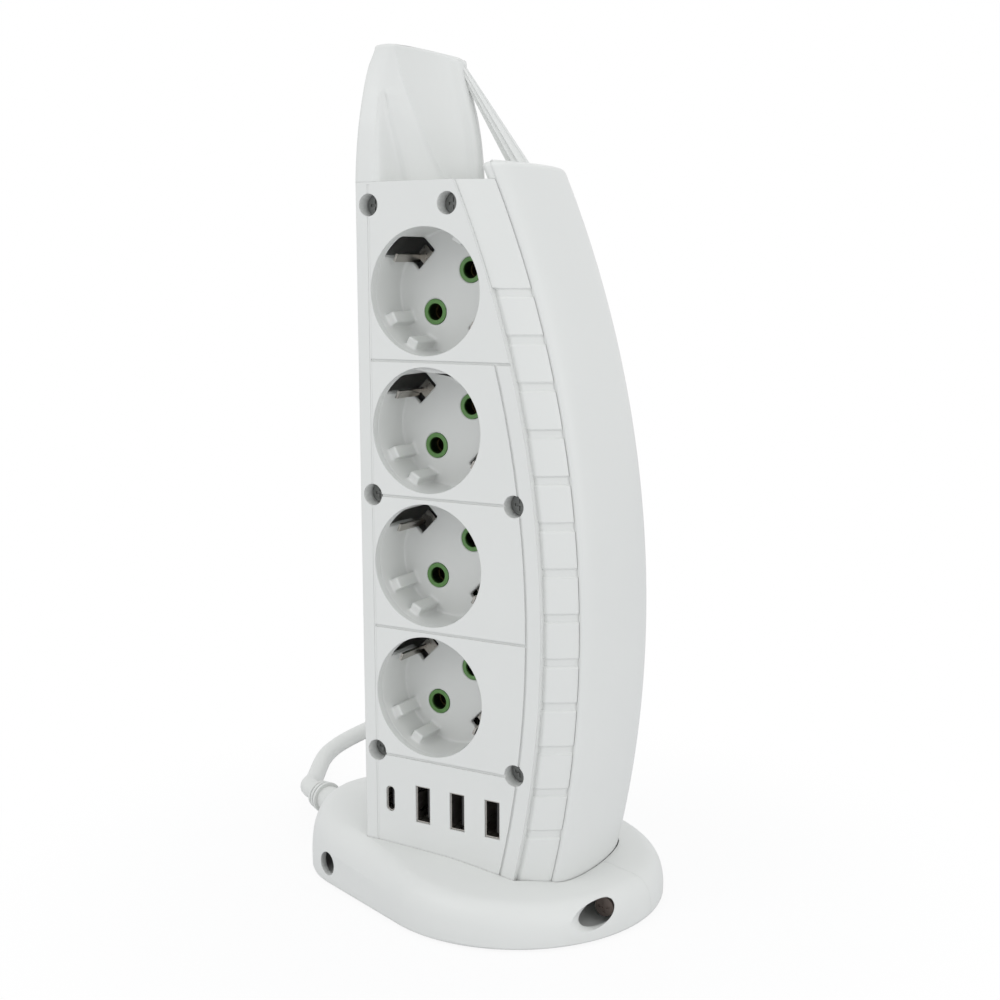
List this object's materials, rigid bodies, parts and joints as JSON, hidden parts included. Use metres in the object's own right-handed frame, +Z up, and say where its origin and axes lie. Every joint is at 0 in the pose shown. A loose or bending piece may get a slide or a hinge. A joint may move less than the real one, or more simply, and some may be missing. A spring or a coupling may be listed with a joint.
{
  "type": "surge protector power strip",
  "caption": "White upright mains power tower with a column of earthed sockets, charging ports, a curved grooved side, a pointed crown and a corded base.",
  "frame": {"origin": "on the floor under the middle of the base, midway between the front and back of the tower", "axes": "+Z up, +X to the right along the front face, +Y from the front face to the back"},
  "size_m": [0.2007, 0.2901, 0.2797],
  "materials": {
    "white_plastic": "satin",
    "green_plastic": "satin",
    "nickel": "satin",
    "brass_bar": "satin",
    "board": "satin",
    "transformer_tape": "satin",
    "capacitor_can": "gloss",
    "varistor_coat": "gloss",
    "fuse_body": "gloss",
    "live_wire": "satin",
    "neutral_wire": "satin",
    "earth_wire": "satin",
    "rubber": "matte",
    "dark_plastic": "matte",
    "zinc_steel": "satin",
    "dark_steel": "satin",
    "cord_jacket": "satin"
  },
  "bodies": {
    "root": {"front_shell": "white_plastic", "rear_shell": "white_plastic", "rib_strip_front": "white_plastic", "rib_strip_rear": "white_plastic", "sail_cover": "white_plastic", "crown_front": "white_plastic", "crown_rear": "white_plastic", "crown_strut": "white_plastic", "base_front": "white_plastic", "base_rear": "white_plastic", "base_plate": "white_plastic", "socket_insert_1": "white_plastic", "socket_insert_2": "white_plastic", "socket_insert_3": "white_plastic", "socket_insert_4": "white_plastic", "plug_body": "white_plastic", "contact_carrier_1": "green_plastic", "contact_carrier_2": "green_plastic", "contact_carrier_3": "green_plastic", "contact_carrier_4": "green_plastic", "usb_a_tongues": "green_plastic", "usb_c_tongue": "green_plastic", "earth_clip_1": "nickel", "earth_clip_2": "nickel", "earth_clip_3": "nickel", "earth_clip_4": "nickel", "usb_a_shells": "nickel", "usb_c_shell": "nickel", "plug_pins": "nickel", "plug_earth_plates": "nickel", "live_bar": "brass_bar", "neutral_bar": "brass_bar", "earth_bar": "brass_bar", "usb_board": "board", "surge_board": "board", "usb_transformer": "transformer_tape", "usb_capacitors": "capacitor_can", "varistors": "varistor_coat", "thermal_fuse": "fuse_body", "live_lead": "live_wire", "neutral_lead": "neutral_wire", "earth_lead": "earth_wire", "rubber_feet": "rubber", "cord_clamp": "dark_plastic", "clamp_screws": "zinc_steel", "face_screws": "dark_steel", "base_screws": "dark_steel", "strain_relief": "cord_jacket", "cord": "cord_jacket", "cord_coil": "cord_jacket", "cord_tail": "cord_jacket"}
  },
  "joints": []
}
